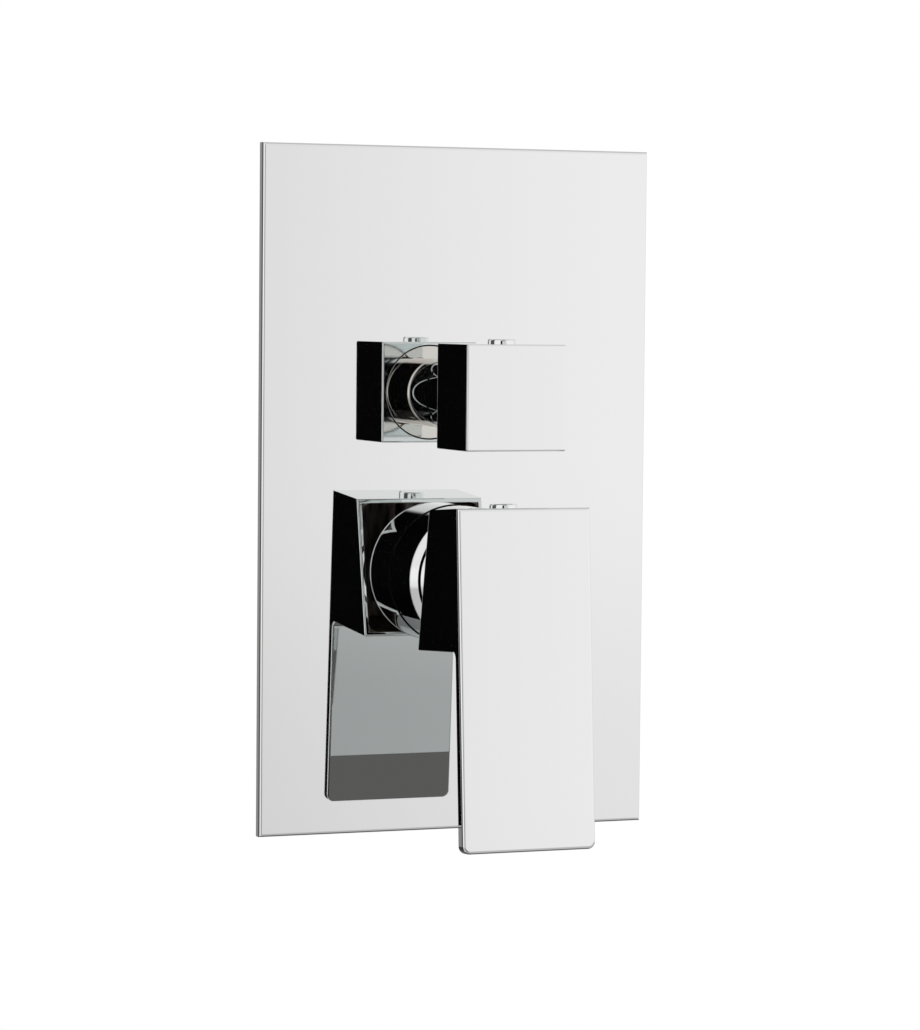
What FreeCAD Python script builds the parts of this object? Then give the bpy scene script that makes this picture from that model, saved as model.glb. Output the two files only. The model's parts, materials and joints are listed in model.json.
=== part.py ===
"""Concealed single-lever shower mixer with a square cover plate and a two-way diverter.

The frame has x to the right, y into the wall and z up. The origin is the middle of the
cover plate on the finished wall, so what is in front of the wall has negative y. Lengths are
in millimetres and angles in degrees. The lever is closed and the diverter feeds the upper outlet.
"""
import FreeCAD
import Part

import math
import os

Vector = FreeCAD.Vector
X_AXIS = Vector(1, 0, 0)
Y_AXIS = Vector(0, 1, 0)
Z_AXIS = Vector(0, 0, 1)
ORIGIN = Vector(0, 0, 0)
HEX_SIDES = 6

# Clearances
FIT = 0.1  # between pieces that are assembled and stay put
RUN = 0.06  # radial, in a running fit
GAP = 0.3  # between pieces that pass each other
OVERRUN = 2.0  # how far a cutting tool reaches past the face that it cuts

# Tolerances for picking edges
NEAR = 1e-4
PARALLEL = 1 - 1e-6

# Layout
MIXER_Z = -25.0
DIVERTER_Z = 28.0

# Cover plate, its foam gasket and the rings that grip the sleeves
PLATE_WIDTH = 120.0
PLATE_HEIGHT = 200.0
PLATE_THICKNESS = 3.0
PLATE_ROUND = 0.9
GASKET_THICKNESS = 1.0
GASKET_WIDTH = 8.0
GASKET_INSET = 2.0
PLATE_RING_SECTION = 1.8

# Motion
LEVER_LIFT = 15.0
LEVER_TILT = 4.0  # of the closed lever's front face, foot outwards
PIVOT_REACH = 20.0  # from the wall to the cross pin
DISC_ARM = 20.0  # from the cross pin to the stem's ball

# Mixing cartridge
CARTRIDGE_RADIUS = 17.5
HOUSING_WALL = 1.9
HOUSING_NECK_WALL = 1.8
HOUSING_SHOULDER = 2.6
BASE_THICKNESS = 5.5
SEAL_SQUEEZE = 0.5
SEAL_POCKET = 1.0
SEAL_WIDTH = 1.2
PORT_RADIUS = 3.0
INLET_SPREAD = 7.5
INLET_DROP = 4.0
OUTLET_RISE = 8.0
FIXED_DISC_THICKNESS = 3.5
MOVING_DISC_THICKNESS = 3.5
MOVING_DISC_RADIUS = 11.5
MIX_POCKET_RADIUS = 6.5
MIX_POCKET_DEPTH = 1.6
CARRIER_THICKNESS = 6.0
CARRIER_HEIGHT = 16.0
CARRIER_CORNER = 3.0
PRONG_THICKNESS = 2.5
PRONG_WIDTH = 10.0
PRONG_REACH = 5.5
TURRET_RADIUS = 11.3
TURRET_FLANGE = 6.5
TURRET_NECK = 13.0
TURRET_PROUD = 1.0  # in front of the housing
PIN_RADIUS = 1.5
STEM_SQUARE = 8.0
STEM_REACH = 31.0  # in front of the cross pin
STEM_HEEL = 4.0  # square part behind the cross pin
STEM_ROD_RADIUS = 2.2
BALL_RADIUS = 3.0

# Cartridge nut and mixer sleeve
NECK_WALL = 1.4
NUT_THREAD_LENGTH = 5.5
NUT_HEAD_LENGTH = 5.5
NUT_BEVEL = 0.8
NUT_NOTCH_WIDTH = 4.0
NUT_NOTCH_DEPTH = 2.0
NUT_NOTCHES = 4
SLEEVE_WALL = 1.2
MIXER_SLEEVE_BEVEL = 1.7
MIXER_SLEEVE_LIP = 1.1
MIXER_SLEEVE_REACH = 19.0
SLEEVE_TAIL = 5.0  # behind the wall face

# Lever
LEVER_WIDTH = 40.0
LEVER_LENGTH = 96.0
LEVER_REACH = 39.0  # from the cross pin to the front face
LEVER_RISE = 19.8  # from the cross pin to the top face
HEAD_HEIGHT = 40.0
HEAD_DEPTH_TOP = 23.0
HEAD_DEPTH_BOTTOM = 34.0
HEAD_WALL = 1.4
HEAD_FRONT_WALL = 3.0
HEAD_CORNER = 3.0
HEAD_RIM_ROUND = 0.3
PADDLE_THICKNESS = 4.0
PADDLE_CORNER = 2.2
PADDLE_FILLET = 2.0
LEVER_ROUND = 0.9
LEVER_BACK_ROUND = 0.6
BOSS_SQUARE = 14.0
BOSS_START = 14.0  # in front of the cross pin
SCREW_SETBACK = 16.0  # from the lever's front face

# Set screws and their caps
SCREW_RADIUS = 2.5
SCREW_LENGTH = 8.0
SCREW_HEX = 2.5
SCREW_HEX_DEPTH = 2.5
SCREW_TIP_RADIUS = 1.2
SCREW_COLUMN_RADIUS = 5.0
CAP_RADIUS = 4.0
CAP_RISE = 1.4
CAP_ROUND = 0.5
CAP_SHANK_RADIUS = 3.0
CAP_SHANK_LENGTH = 3.0

# Knob
KNOB_SQUARE = 30.0
KNOB_DEPTH = 24.0
KNOB_STANDOFF = 23.0  # from the plate's front to the knob's back
KNOB_ROUND = 0.5
KNOB_RECESS_RADIUS = 14.2
KNOB_RECESS_FLOOR_RADIUS = 10.0
KNOB_RECESS_DEPTH = 8.5
KNOB_RECESS_BELLY = 1.2
KNOB_HUB_WALL = 2.5
KNOB_HUB_GAP = 1.0
KNOB_SOCKET_DEPTH = 18.0

# Diverter
DIVERTER_SLEEVE_REACH = 14.0
DIVERTER_SLEEVE_LIP = 1.8
DIVERTER_SLEEVE_BEVEL = 0.5
HEADWORK_NECK_RADIUS = 8.5
HEADWORK_NECK_LENGTH = 21.0
HEX_ACROSS_FLATS = 22.0
HEX_THICKNESS = 5.0
HEX_START = 6.0  # behind the wall face
WASHER_THICKNESS = 1.0
WASHER_WIDTH = 1.6
HEADWORK_THREAD_RADIUS = 10.3
HEADWORK_THREAD_LENGTH = 10.0
CAGE_RADIUS = 8.8
CAGE_WALL = 1.6
CAGE_LENGTH = 8.0
CAGE_CAVITY_LENGTH = 16.0
WINDOW_WIDTH = 7.0
WINDOW_LENGTH = 3.4
SPINDLE_RADIUS = 4.0
SPINDLE_FLAT = 0.6
SPINDLE_COLLAR = 5.2
TONGUE_WIDTH = 4.0
TONGUE_LENGTH = 8.0
TONGUE_DEPTH = 1.5
DIVERTER_DISC_THICKNESS = 3.0
DIVERTER_TURN = 90.0
DIVERTER_PORT_RADIUS = 2.2
DIVERTER_PORT_OFFSET = 3.6
SEAT_SEAL_THICKNESS = 1.5
SEAT_SEAL_WIDTH = 2.5
ORING_SECTION = 1.0
CLIP_THICKNESS = 1.0
CLIP_WIDTH = 1.8
CLIP_GROOVE = 0.6
CLIP_OPENING = 4.0

# Valve body
BODY_WALL = 5.4
CAST_ROUND = 2.0
MIXER_BOSS_TAIL = 5.0  # behind the inlet arms
DIVERTER_BOSS_INSET = 4.0  # from the column's back
CHANNEL_RADIUS = 6.0
CHANNEL_WALL = 7.0
CHANNEL_SPACING = 17.0
INLET_DEPTH = 9.0
INLET_REACH = 44.0
OUTLET_TOP = 78.0
OUTLET_BOTTOM = -80.0
THREAD_RADIUS = 10.48  # at the bottom of a half-inch pipe thread
THREAD_LENGTH = 15.0
THREAD_BEVEL = 1.0
COLLAR_ACROSS_FLATS = 28.0
COLLAR_LENGTH = 16.0
RISER_RADIUS = 5.0
RISER_WALL = 5.0
WEB = 2.0  # metal left between neighbouring channels
DIVERTER_BOSS_WALL = 4.6
LUG_TOP_Z = 54.0
LUG_BOTTOM_Z = -56.0
LUG_SPACING = 54.0
LUG_HEIGHT = 14.0
LUG_THICKNESS = 6.0
LUG_HOLE_RADIUS = 2.75

# Places that follow from the sizes above
PLATE_BACK = -GASKET_THICKNESS
PLATE_FRONT = PLATE_BACK - PLATE_THICKNESS
PIVOT = Vector(0, -PIVOT_REACH, MIXER_Z)
STEM_TILT = LEVER_LIFT / 2
SWING = math.radians(STEM_TILT)
DISC_OFFSET = DISC_ARM * math.sin(SWING)

CAVITY_RADIUS = CARTRIDGE_RADIUS + FIT
HOUSING_RADIUS = CARTRIDGE_RADIUS - HOUSING_WALL
HOUSING_NECK_INNER = TURRET_RADIUS + RUN
HOUSING_NECK_OUTER = HOUSING_NECK_INNER + HOUSING_NECK_WALL
NECK_RADIUS = CAVITY_RADIUS + NECK_WALL
MIXER_SLEEVE_INNER = NECK_RADIUS + GAP
MIXER_SLEEVE_RADIUS = MIXER_SLEEVE_INNER + SLEEVE_WALL
MIXER_SLEEVE_MOUTH = MIXER_SLEEVE_INNER - MIXER_SLEEVE_LIP
MIXER_SLEEVE_FRONT = PLATE_FRONT - MIXER_SLEEVE_REACH

BALL_Y = DISC_ARM - PIVOT_REACH
CARRIER_FRONT = BALL_Y - CARRIER_THICKNESS / 2
CARRIER_BACK = BALL_Y + CARRIER_THICKNESS / 2
MOVING_DISC_BACK = CARRIER_BACK + MOVING_DISC_THICKNESS
FIXED_DISC_FRONT = MOVING_DISC_BACK + RUN
FIXED_DISC_BACK = FIXED_DISC_FRONT + FIXED_DISC_THICKNESS
BASE_BACK = FIXED_DISC_BACK + BASE_THICKNESS
CAVITY_BACK = BASE_BACK + SEAL_SQUEEZE
TURRET_BACK = CARRIER_FRONT - GAP
TURRET_SHOULDER = TURRET_BACK - TURRET_FLANGE
TURRET_FRONT = TURRET_SHOULDER - TURRET_NECK
HOUSING_SHOULDER_FRONT = TURRET_SHOULDER - GAP - HOUSING_SHOULDER
HOUSING_FRONT = TURRET_FRONT + TURRET_PROUD
NUT_SHOULDER = HOUSING_SHOULDER_FRONT - NUT_THREAD_LENGTH
NUT_FRONT = NUT_SHOULDER - NUT_HEAD_LENGTH
PRONG_OUTER = math.sqrt((HOUSING_RADIUS - GAP) ** 2 - (PRONG_WIDTH / 2) ** 2)
CARRIER_WIDTH = 2 * (PRONG_OUTER - PRONG_THICKNESS - GAP)
HEEL_SWING = STEM_SQUARE / 2 / math.cos(SWING) + STEM_HEEL * math.tan(SWING)
ROD_SWING = STEM_ROD_RADIUS / math.cos(SWING) + (TURRET_BACK - PIVOT.y) * math.tan(SWING)
TURRET_SLOT_HEIGHT = 2 * (max(HEEL_SWING, ROD_SWING) + GAP)

STEM_SLOPE = math.tan(math.radians(STEM_TILT + LEVER_TILT))
LEVER_FRONT = -LEVER_REACH
LEVER_BOTTOM = LEVER_RISE - LEVER_LENGTH
HEAD_BOTTOM = LEVER_RISE - HEAD_HEIGHT
LEVER_SCREW_Y = LEVER_FRONT + SCREW_SETBACK
LEVER_SCREW_FOOT = LEVER_SCREW_Y * STEM_SLOPE  # height of the stem's middle there

KNOB_BACK = PLATE_FRONT - KNOB_STANDOFF
KNOB_FRONT = KNOB_BACK - KNOB_DEPTH
KNOB_TOP = DIVERTER_Z + KNOB_SQUARE / 2
KNOB_SCREW_Y = (KNOB_BACK + KNOB_FRONT) / 2
DIVERTER_SLEEVE_INNER = HEADWORK_NECK_RADIUS + GAP
DIVERTER_SLEEVE_RADIUS = DIVERTER_SLEEVE_INNER + SLEEVE_WALL
DIVERTER_SLEEVE_FRONT = PLATE_FRONT - DIVERTER_SLEEVE_REACH
KNOB_HUB_RADIUS = SPINDLE_RADIUS + FIT + KNOB_HUB_WALL
KNOB_HUB_BACK = DIVERTER_SLEEVE_FRONT - KNOB_HUB_GAP
KNOB_SOCKET_FRONT = KNOB_BACK - KNOB_SOCKET_DEPTH
SPINDLE_FRONT = KNOB_SOCKET_FRONT + FIT

HEADWORK_FRONT = HEX_START - HEADWORK_NECK_LENGTH
CLIP_BACK = HEADWORK_FRONT - GAP
CLIP_FRONT = CLIP_BACK - CLIP_THICKNESS
HEX_BACK = HEX_START + HEX_THICKNESS
BOSS_FACE = HEX_BACK + WASHER_THICKNESS
CAGE_FRONT = HEX_BACK + HEADWORK_THREAD_LENGTH
CAGE_BACK = CAGE_FRONT + CAGE_LENGTH
CAGE_INNER = CAGE_RADIUS - CAGE_WALL
CAGE_CAVITY_FRONT = CAGE_BACK - CAGE_CAVITY_LENGTH
STATOR_FRONT = CAGE_BACK - DIVERTER_DISC_THICKNESS
ROTOR_BACK = STATOR_FRONT - RUN
ROTOR_FRONT = ROTOR_BACK - DIVERTER_DISC_THICKNESS
WINDOW_FRONT = ROTOR_FRONT - WINDOW_LENGTH
COLLAR_BACK = CAGE_CAVITY_FRONT + GAP + SPINDLE_COLLAR
CHAMBER_BACK = CAGE_BACK + SEAT_SEAL_THICKNESS
CHAMBER_RADIUS = CAGE_RADIUS + FIT
PORT_TURN = DIVERTER_TURN / 2

INLET_Y = CAVITY_BACK + INLET_DEPTH
COLUMN_Y = INLET_Y + CHANNEL_SPACING
PIPE_RADIUS = CHANNEL_RADIUS + CHANNEL_WALL
MIXER_BOSS_RADIUS = CAVITY_RADIUS + BODY_WALL
MIXER_BOSS_BACK = INLET_Y + PIPE_RADIUS + MIXER_BOSS_TAIL
DIVERTER_BOSS_RADIUS = HEADWORK_THREAD_RADIUS + FIT + DIVERTER_BOSS_WALL
DIVERTER_BOSS_BACK = COLUMN_Y + PIPE_RADIUS - DIVERTER_BOSS_INSET


def cylinder_x(radius, x0, x1, y, z):
    return Part.makeCylinder(radius, x1 - x0, Vector(x0, y, z), X_AXIS)


def cylinder_y(radius, y0, y1, z, x=0):
    return Part.makeCylinder(radius, y1 - y0, Vector(x, y0, z), Y_AXIS)


def cylinder_z(radius, z0, z1, y, x=0):
    return Part.makeCylinder(radius, z1 - z0, Vector(x, y, z0), Z_AXIS)


def ring_y(outer, inner, y0, y1, z, x=0):
    bore = cylinder_y(inner, y0 - OVERRUN, y1 + OVERRUN, z, x)
    return cylinder_y(outer, y0, y1, z, x).cut(bore)


def torus_y(inner, section, y, z):
    return Part.makeTorus(inner + section / 2, section / 2, Vector(0, y, z), Y_AXIS)


def block(x_size, y0, y1, z0, z1, x=0):
    corner = Vector(x - x_size / 2, y0, z0)
    return Part.makeBox(x_size, y1 - y0, z1 - z0, corner)


def hexagon(across_flats, start, direction, length):
    """A six-sided bar from the point start along direction."""
    bar = Part.Face(Part.makePolygon(hexagon_points(across_flats))).extrude(Z_AXIS * length)
    bar.Placement = FreeCAD.Placement(start, FreeCAD.Rotation(Z_AXIS, direction))
    return bar


def hexagon_points(across_flats):
    corner = across_flats / math.sqrt(3)
    turns = [math.radians(360 * side / HEX_SIDES) for side in range(HEX_SIDES)]
    points = [Vector(corner * math.cos(turn), corner * math.sin(turn), 0) for turn in turns]
    return points + points[:1]


def revolved(profile, z):
    """A solid turned about the y direction at height z, from (radius, y) points."""
    points = [Vector(radius, y, z) for radius, y in profile]
    face = Part.Face(Part.makePolygon(points + points[:1]))
    return face.revolve(Vector(0, 0, z), Y_AXIS, 360)


def union(first, *others):
    return first.multiFuse(list(others)).removeSplitter()


def edges_along(shape, direction, test):
    """The straight edges of shape along direction whose middle point passes test."""
    found = []
    for edge in shape.Edges:
        if edge.Curve.TypeId != "Part::GeomLine":
            continue
        tangent = edge.tangentAt(edge.FirstParameter)
        if abs(tangent.dot(direction)) > PARALLEL and test(edge.CenterOfMass):
            found.append(edge)
    return found


def anywhere(point):
    return True


def edges_on_plane_y(shape, y):
    """The edges of shape that lie wholly at depth y."""
    boxes = [(edge, edge.BoundBox) for edge in shape.Edges]
    return [edge for edge, box in boxes if is_near(box.YMin, y) and is_near(box.YMax, y)]


def is_near(value, target):
    return abs(value - target) < NEAR


def rim(shape, y, radius):
    """The circular edges of shape at depth y with this radius."""
    circles = [edge for edge in edges_on_plane_y(shape, y) if edge.Curve.TypeId == "Part::GeomCircle"]
    return [edge for edge in circles if is_near(edge.Curve.Radius, radius)]


def at_pivot(shape, tilt):
    """Turn a shape that is drawn about the cross pin, foot outwards by tilt, and put it in place."""
    return shape.rotated(ORIGIN, X_AXIS, -tilt).translated(PIVOT)


# Cover plate

def wall_plate():
    plate = block(PLATE_WIDTH, PLATE_FRONT, PLATE_BACK, -PLATE_HEIGHT / 2, PLATE_HEIGHT / 2)
    plate = plate.makeFillet(PLATE_ROUND, edges_on_plane_y(plate, PLATE_FRONT))
    for radius, z in ((MIXER_SLEEVE_RADIUS, MIXER_Z), (DIVERTER_SLEEVE_RADIUS, DIVERTER_Z)):
        hole = cylinder_y(radius + GAP, PLATE_FRONT - OVERRUN, PLATE_BACK + OVERRUN, z)
        seat_radius = radius + FIT + PLATE_RING_SECTION + FIT
        seat = cylinder_y(seat_radius, PLATE_BACK - PLATE_RING_SECTION - FIT, PLATE_BACK + OVERRUN, z)
        plate = plate.cut(hole).cut(seat)
    return plate


def plate_gasket():
    width = PLATE_WIDTH - 2 * GASKET_INSET
    half_height = PLATE_HEIGHT / 2 - GASKET_INSET
    frame = block(width, PLATE_BACK, 0, -half_height, half_height)
    inner_half = half_height - GASKET_WIDTH
    window = block(width - 2 * GASKET_WIDTH, PLATE_BACK - OVERRUN, OVERRUN, -inner_half, inner_half)
    return frame.cut(window)


def plate_ring(sleeve_radius, z):
    inner = sleeve_radius + FIT
    return ring_y(inner + PLATE_RING_SECTION, inner, PLATE_BACK - PLATE_RING_SECTION, PLATE_BACK, z)


def sleeve(inner, lip, bevel, front, z):
    """A tube whose front is turned in by lip and bevelled outside."""
    radius = inner + SLEEVE_WALL
    tube = cylinder_y(radius, front, SLEEVE_TAIL, z)
    tube = tube.makeChamfer(bevel, rim(tube, front, radius))
    lip_back = front + bevel + SLEEVE_WALL / 2
    bore = cylinder_y(inner, lip_back, SLEEVE_TAIL + OVERRUN, z)
    mouth = cylinder_y(inner - lip, front - OVERRUN, SLEEVE_TAIL, z)
    return tube.cut(bore).cut(mouth)


def mixer_sleeve():
    return sleeve(MIXER_SLEEVE_INNER, MIXER_SLEEVE_LIP, MIXER_SLEEVE_BEVEL, MIXER_SLEEVE_FRONT, MIXER_Z)


def diverter_sleeve():
    lip = DIVERTER_SLEEVE_LIP
    return sleeve(DIVERTER_SLEEVE_INNER, lip, DIVERTER_SLEEVE_BEVEL, DIVERTER_SLEEVE_FRONT, DIVERTER_Z)


# Mixing cartridge

def cartridge_ports():
    """The x and z of the hot, cold and mixed openings in the cartridge's foot."""
    inlet_z = MIXER_Z - INLET_DROP
    return [(-INLET_SPREAD, inlet_z), (INLET_SPREAD, inlet_z), (0, MIXER_Z + OUTLET_RISE)]


def cartridge_nut():
    nut = cylinder_y(CARTRIDGE_RADIUS, NUT_SHOULDER, HOUSING_SHOULDER_FRONT, MIXER_Z)
    head_radius = MIXER_SLEEVE_MOUTH - GAP
    head = cylinder_y(head_radius, NUT_FRONT, NUT_SHOULDER, MIXER_Z)
    head = head.makeChamfer(NUT_BEVEL, rim(head, NUT_FRONT, head_radius))
    bore_back = HOUSING_SHOULDER_FRONT + OVERRUN
    bore = cylinder_y(HOUSING_NECK_OUTER + FIT, NUT_FRONT - OVERRUN, bore_back, MIXER_Z)
    nut = union(nut, head).cut(bore)
    slot_floor = NUT_FRONT + NUT_NOTCH_DEPTH
    for notch in range(NUT_NOTCHES):
        slot = block(NUT_NOTCH_WIDTH, NUT_FRONT - OVERRUN, slot_floor, 0, head_radius + OVERRUN)
        turn = 360 * (notch + 1 / 2) / NUT_NOTCHES
        slot = slot.rotated(ORIGIN, Y_AXIS, turn).translated(Vector(0, 0, MIXER_Z))
        nut = nut.cut(slot)
    return nut


def cartridge_housing():
    profile = [
        (HOUSING_NECK_INNER, HOUSING_FRONT),
        (HOUSING_NECK_OUTER, HOUSING_FRONT),
        (HOUSING_NECK_OUTER, HOUSING_SHOULDER_FRONT),
        (CARTRIDGE_RADIUS, HOUSING_SHOULDER_FRONT),
        (CARTRIDGE_RADIUS, FIXED_DISC_BACK),
        (HOUSING_RADIUS, FIXED_DISC_BACK),
        (HOUSING_RADIUS, TURRET_SHOULDER - GAP),
        (HOUSING_NECK_INNER, TURRET_SHOULDER - GAP),
    ]
    return revolved(profile, MIXER_Z)


def cartridge_base():
    base = cylinder_y(CARTRIDGE_RADIUS, FIXED_DISC_BACK, BASE_BACK, MIXER_Z)
    pocket_radius = PORT_RADIUS + SEAL_WIDTH + FIT
    for x, z in cartridge_ports():
        base = base.cut(cylinder_y(PORT_RADIUS, FIXED_DISC_BACK - OVERRUN, BASE_BACK + OVERRUN, z, x))
        base = base.cut(cylinder_y(pocket_radius, BASE_BACK - SEAL_POCKET, BASE_BACK + OVERRUN, z, x))
    return base


def cartridge_seals():
    start = BASE_BACK - SEAL_POCKET
    outer = PORT_RADIUS + SEAL_WIDTH
    rings = [ring_y(outer, PORT_RADIUS, start, CAVITY_BACK, z, x) for x, z in cartridge_ports()]
    return Part.makeCompound(rings)


def fixed_disc():
    disc = cylinder_y(HOUSING_RADIUS - FIT, FIXED_DISC_FRONT, FIXED_DISC_BACK, MIXER_Z)
    front = FIXED_DISC_FRONT - OVERRUN
    back = FIXED_DISC_BACK + OVERRUN
    for x, z in cartridge_ports():
        disc = disc.cut(cylinder_y(PORT_RADIUS, front, back, z, x))
    return disc


def moving_disc():
    z = MIXER_Z + DISC_OFFSET
    disc = cylinder_y(MOVING_DISC_RADIUS, CARRIER_BACK, MOVING_DISC_BACK, z)
    pocket_floor = MOVING_DISC_BACK - MIX_POCKET_DEPTH
    pocket = cylinder_y(MIX_POCKET_RADIUS, pocket_floor, MOVING_DISC_BACK + OVERRUN, z)
    return disc.cut(pocket)


def disc_carrier():
    z = MIXER_Z + DISC_OFFSET
    half = CARRIER_HEIGHT / 2
    carrier = block(CARRIER_WIDTH, CARRIER_FRONT, CARRIER_BACK, z - half, z + half)
    carrier = carrier.makeFillet(CARRIER_CORNER, edges_along(carrier, Y_AXIS, anywhere))
    slot_half = BALL_RADIUS + RUN
    slot_width = 2 * (BALL_RADIUS + GAP)
    slot = block(slot_width, CARRIER_FRONT - OVERRUN, CARRIER_BACK + OVERRUN, z - slot_half, z + slot_half)
    return carrier.cut(slot)


def turret():
    neck = cylinder_y(TURRET_RADIUS, TURRET_FRONT, TURRET_SHOULDER, MIXER_Z)
    flange_radius = HOUSING_RADIUS - GAP
    flange = cylinder_y(flange_radius, TURRET_SHOULDER, TURRET_BACK, MIXER_Z)
    prong_x = PRONG_OUTER - PRONG_THICKNESS / 2
    prong_end = TURRET_BACK + PRONG_REACH
    low = MIXER_Z - PRONG_WIDTH / 2
    high = MIXER_Z + PRONG_WIDTH / 2
    prongs = [block(PRONG_THICKNESS, TURRET_BACK, prong_end, low, high, side * prong_x) for side in (-1, 1)]
    core = union(neck, flange, *prongs)
    floor = MIXER_Z - TURRET_SLOT_HEIGHT / 2
    roof = MIXER_Z + TURRET_SLOT_HEIGHT / 2
    slot = block(STEM_SQUARE + 2 * GAP, TURRET_FRONT - OVERRUN, TURRET_BACK + OVERRUN, floor, roof)
    reach = TURRET_RADIUS + OVERRUN
    pin_hole = cylinder_x(PIN_RADIUS + RUN, -reach, reach, PIVOT.y, PIVOT.z)
    return core.cut(slot).cut(pin_hole)


def pivot_pin():
    half_length = TURRET_RADIUS - GAP - PIN_RADIUS
    return cylinder_x(PIN_RADIUS, -half_length, half_length, PIVOT.y, PIVOT.z)


def lever_stem():
    half = STEM_SQUARE / 2
    bar = block(STEM_SQUARE, -STEM_REACH, STEM_HEEL, -half, half)
    rod = cylinder_y(STEM_ROD_RADIUS, 0, DISC_ARM, 0)
    ball = Part.makeSphere(BALL_RADIUS, Vector(0, DISC_ARM, 0))
    pin_hole = cylinder_x(PIN_RADIUS + RUN, -STEM_SQUARE, STEM_SQUARE, 0, 0)
    stem = union(bar, rod, ball).cut(pin_hole)
    return at_pivot(stem, -STEM_TILT)


# Lever

def lever_blank():
    """The lever's outer form about the cross pin, with an upright front face."""
    side = [
        (LEVER_FRONT, LEVER_RISE),
        (LEVER_FRONT + HEAD_DEPTH_TOP, LEVER_RISE),
        (LEVER_FRONT + HEAD_DEPTH_BOTTOM, HEAD_BOTTOM),
        (LEVER_FRONT + PADDLE_THICKNESS, HEAD_BOTTOM),
        (LEVER_FRONT + PADDLE_THICKNESS, LEVER_BOTTOM),
        (LEVER_FRONT, LEVER_BOTTOM),
    ]
    points = [Vector(-LEVER_WIDTH / 2, y, z) for y, z in side]
    blank = Part.Face(Part.makePolygon(points + points[:1])).extrude(X_AXIS * LEVER_WIDTH)
    paddle_back = LEVER_FRONT + PADDLE_THICKNESS
    inner = edges_along(blank, X_AXIS, lambda m: is_near(m.y, paddle_back) and is_near(m.z, HEAD_BOTTOM))
    blank = blank.makeFillet(PADDLE_FILLET, inner)
    corners = edges_along(blank, Y_AXIS, lambda m: is_near(m.z, LEVER_BOTTOM))
    blank = blank.makeFillet(PADDLE_CORNER, corners)
    blank = blank.makeFillet(LEVER_BACK_ROUND, lever_back_edges(blank))
    return blank.makeFillet(LEVER_ROUND, edges_on_plane_y(blank, LEVER_FRONT))


def lever_back_edges(blank):
    """The outer edges behind the front face, but not those of the fillet between head and paddle."""
    fillet = Vector(0, LEVER_FRONT + PADDLE_THICKNESS, HEAD_BOTTOM)
    behind = [edge for edge in blank.Edges if edge.BoundBox.YMin > LEVER_FRONT + NEAR]
    return [edge for edge in behind if edge.CenterOfMass.distanceToPoint(fillet) > 2 * PADDLE_FILLET]


def lever_hollow():
    """The space inside the lever's head, open towards the wall."""
    front = LEVER_FRONT + HEAD_FRONT_WALL
    back = LEVER_FRONT + HEAD_DEPTH_BOTTOM + OVERRUN
    width = LEVER_WIDTH - 2 * HEAD_WALL
    hollow = block(width, front, back, HEAD_BOTTOM + HEAD_WALL, LEVER_RISE - HEAD_WALL)
    return hollow.makeFillet(HEAD_CORNER, edges_along(hollow, Y_AXIS, anywhere))


def lever_shell(blank, hollow):
    """The blank with its head hollowed out and the rim of the hollow rounded."""
    shell = blank.cut(hollow)
    space = hollow.BoundBox
    space.enlarge(NEAR)
    rim_edges = [edge for edge in shell.Edges if space.isInside(edge.BoundBox) and is_on_rim(edge)]
    return shell.makeFillet(HEAD_RIM_ROUND, rim_edges)


def is_on_rim(edge):
    """Whether both ends of the edge lie in the slanted plane behind the head."""
    slope = (HEAD_DEPTH_BOTTOM - HEAD_DEPTH_TOP) / HEAD_HEIGHT
    ends = [vertex.Point for vertex in edge.Vertexes]
    return all(is_near(end.y, LEVER_FRONT + HEAD_DEPTH_TOP + (LEVER_RISE - end.z) * slope) for end in ends)


def lever():
    blank = lever_blank()
    half = BOSS_SQUARE / 2
    boss = block(BOSS_SQUARE, 2 * LEVER_FRONT, -BOSS_START, -half, half)
    boss = boss.rotated(ORIGIN, X_AXIS, STEM_TILT + LEVER_TILT).common(blank)
    column = cylinder_z(SCREW_COLUMN_RADIUS, LEVER_SCREW_FOOT, LEVER_RISE, LEVER_SCREW_Y).common(blank)
    handle = union(lever_shell(blank, lever_hollow()), boss, column)
    handle = handle.cut(screw_hole(LEVER_SCREW_FOOT, LEVER_RISE, LEVER_SCREW_Y))
    socket_half = STEM_SQUARE / 2 + FIT
    socket = block(2 * socket_half, -STEM_REACH - FIT, 0, -socket_half, socket_half)
    return at_pivot(handle, LEVER_TILT).cut(at_pivot(socket, -STEM_TILT))


# Set screws and caps

def screw_hole(z0, top, y):
    """The tapped hole down from a top face, with the cap's seat above it."""
    tapped = cylinder_z(SCREW_RADIUS + FIT, z0, top, y)
    seat = cylinder_z(CAP_SHANK_RADIUS + FIT, top - CAP_SHANK_LENGTH - FIT, top + OVERRUN, y)
    return tapped.fuse(seat)


def set_screw(tip, y):
    """A pointed set screw that stands on the height tip."""
    point = SCREW_RADIUS - SCREW_TIP_RADIUS
    cone = Part.makeCone(SCREW_TIP_RADIUS, SCREW_RADIUS, point, Vector(0, y, tip), Z_AXIS)
    shank = cylinder_z(SCREW_RADIUS, tip + point, tip + SCREW_LENGTH, y)
    key_floor = Vector(0, y, tip + SCREW_LENGTH - SCREW_HEX_DEPTH)
    key = hexagon(SCREW_HEX, key_floor, Z_AXIS, SCREW_HEX_DEPTH + OVERRUN)
    return union(cone, shank).cut(key)


def screw_cap(top, y):
    head = cylinder_z(CAP_RADIUS, top, top + CAP_RISE, y)
    upper = [edge for edge in head.Edges if is_near(edge.BoundBox.ZMin, top + CAP_RISE)]
    head = head.makeFillet(CAP_ROUND, upper)
    return union(head, cylinder_z(CAP_SHANK_RADIUS, top - CAP_SHANK_LENGTH, top, y))


def lever_grub_screw():
    stem_top = LEVER_SCREW_FOOT + STEM_SQUARE / 2 / math.cos(math.atan(STEM_SLOPE))
    tip = stem_top + SCREW_TIP_RADIUS * STEM_SLOPE + FIT
    return at_pivot(set_screw(tip, LEVER_SCREW_Y), LEVER_TILT)


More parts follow.
